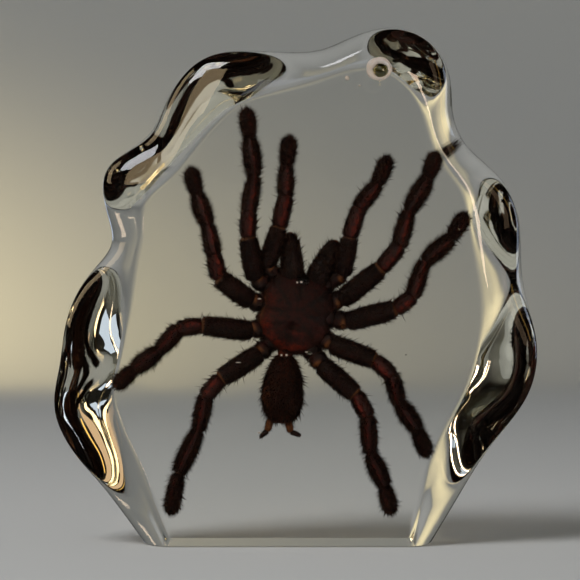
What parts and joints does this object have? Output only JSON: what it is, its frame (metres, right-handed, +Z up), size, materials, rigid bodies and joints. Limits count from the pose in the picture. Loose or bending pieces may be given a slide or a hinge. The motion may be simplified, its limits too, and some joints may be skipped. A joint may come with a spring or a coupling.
{
  "type": "tarantula in resin block",
  "caption": "Free-form clear resin paperweight with flat faces, a scalloped rounded rim and a sawn flat base, holding a dried tarantula spread at mid thickness.",
  "frame": {"origin": "centre of the block's width and thickness, on the plane of its sawn base", "axes": "+X to the right as the block is looked at from the front, +Y towards the back face, +Z up from the sawn base"},
  "size_m": [0.1536, 0.035, 0.1642],
  "materials": {
    "clear_resin": "polished",
    "dried_tarantula": "satin",
    "tarantula_hair": "matte"
  },
  "bodies": {
    "root": {"resin_block": "clear_resin"}
  },
  "joints": []
}
